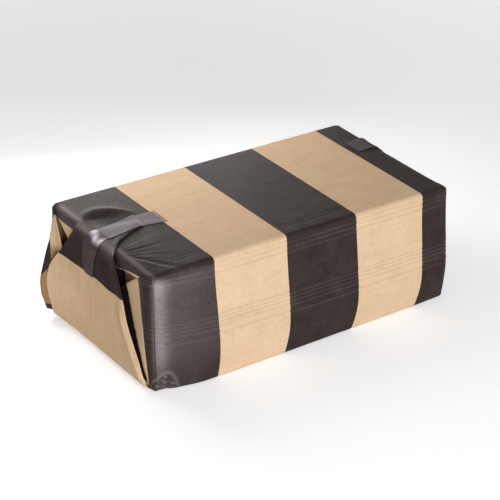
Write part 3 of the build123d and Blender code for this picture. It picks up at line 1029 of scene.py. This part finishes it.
# The studio: a white floor that keeps the parcel's soft shadow, a white room, four small lamps behind the
# parcel for the sheen on its top, and three large ones in front and at the left
stage_size = 6.0


def seen_directly(tree):
    """1 for what the camera sees, also in a gloss or through film, 0 for the light on the parcel."""
    path = tree.nodes.new("ShaderNodeLightPath")
    return calc(tree, "MAXIMUM", path.outputs["Is Camera Ray"],
                calc(tree, "MAXIMUM", path.outputs["Is Glossy Ray"], path.outputs["Is Transmission Ray"]))


floor_mesh = bpy.data.meshes.new("floor")
floor_mesh.from_pydata([(-stage_size, -stage_size, 0), (stage_size, -stage_size, 0),
                        (stage_size, stage_size, 0), (-stage_size, stage_size, 0)], [], [(0, 1, 2, 3)])
floor = bpy.data.objects.new("floor", floor_mesh)
floor.location.z = -0.0003
bpy.context.scene.collection.objects.link(floor)
white, floor_tree, floor_shader = new_material("white floor")
floor_shader.inputs["Base Color"].default_value = (0.86, 0.86, 0.86, 1)
floor_shader.inputs["Roughness"].default_value = 0.9
floor_shader.inputs["Specular IOR Level"].default_value = 0.0
floor_place = floor_tree.nodes.new("ShaderNodeTexCoord")
floor_reach = floor_tree.nodes.new("ShaderNodeVectorMath")
floor_reach.operation = "LENGTH"
join(floor_tree, floor_place.outputs["Object"], floor_reach.inputs[0])
floor_far = ranged(floor_tree, floor_reach.outputs["Value"], 0.2, 1.2, 0.40, 0.90, "SMOOTHSTEP")
floor_glow = times(floor_tree, seen_directly(floor_tree), floor_far)
floor_shader.inputs["Emission Color"].default_value = (1, 1, 1, 1)
join(floor_tree, floor_glow, floor_shader.inputs["Emission Strength"])
floor_mesh.materials.append(white)

world = bpy.data.worlds.new("studio")
bpy.context.scene.world = world
world.use_nodes = True
air = world.node_tree
backdrop = air.nodes["Background"]
seen = seen_directly(air)
air_place = air.nodes.new("ShaderNodeTexCoord")
wall = ranged(air, split(air, air_place.outputs["Generated"])[2], 0.62, 0.34, kind="SMOOTHSTEP")
room_light = 0.21
wall_light = times(air, times(air, seen, wall), 1.0 - room_light)
join(air, plus(air, wall_light, room_light), backdrop.inputs["Strength"])
air_tint = mixed(air, seen, (1.0, 0.94, 0.86, 1.0), (1.0, 1.0, 1.0, 1.0))
join(air, air_tint, backdrop.inputs["Color"])


def aimed(name, data, place, target):
    """A lamp or the camera at place, turned to target."""
    thing = bpy.data.objects.new(name, data)
    thing.location = place
    thing.rotation_mode = "QUATERNION"
    thing.rotation_quaternion = (Vector(target) - Vector(place)).to_track_quat("-Z", "Y")
    bpy.context.scene.collection.objects.link(thing)
    return thing


def soft_lamp(name, place, target, size, power, colour=(1, 1, 1)):
    """A square soft box."""
    data = bpy.data.lights.new(name, "AREA")
    data.size = size
    data.energy = power
    data.color = colour
    aimed(name, data, place, target).visible_camera = False


soft_lamp("back lamp", (-0.10, 0.16, 0.24), (-0.05, 0.02, 0.06), 0.14, 0.39, (1.0, 1.01, 1.06))
soft_lamp("low left lamp", (0.0, 0.22, 0.13), (-0.06, 0.03, 0.07), 0.10, 0.125)
soft_lamp("low right lamp", (0.15, 0.22, 0.13), (0.02, 0.03, 0.07), 0.10, 0.06)
soft_lamp("low middle lamp", (0.07, 0.20, 0.10), (-0.02, 0.03, 0.07), 0.10, 0.067)
soft_lamp("front lamp", (-0.50, -1.28, 0.34), (0, 0, 0.03), 0.55, 13.0, (0.95, 1.0, 1.08))
soft_lamp("fill lamp", (0.05, -1.20, 0.50), (0, 0, 0.03), 0.6, 5.0, (0.95, 1.0, 1.08))
soft_lamp("side lamp", (-1.20, -0.30, 0.50), (0, 0, 0.03), 0.5, 0.9, (1.0, 0.88, 0.72))

# The camera stands where the photographer's did, to the left and in front, a little above
camera_data = bpy.data.cameras.new("camera")
camera_data.sensor_width = 36.0
camera_data.lens = 148.3
bpy.context.scene.camera = aimed("camera", camera_data, (-0.583, -0.879, 0.585), (0, 0, 0.036))
bpy.context.scene.view_settings.view_transform = "Standard"
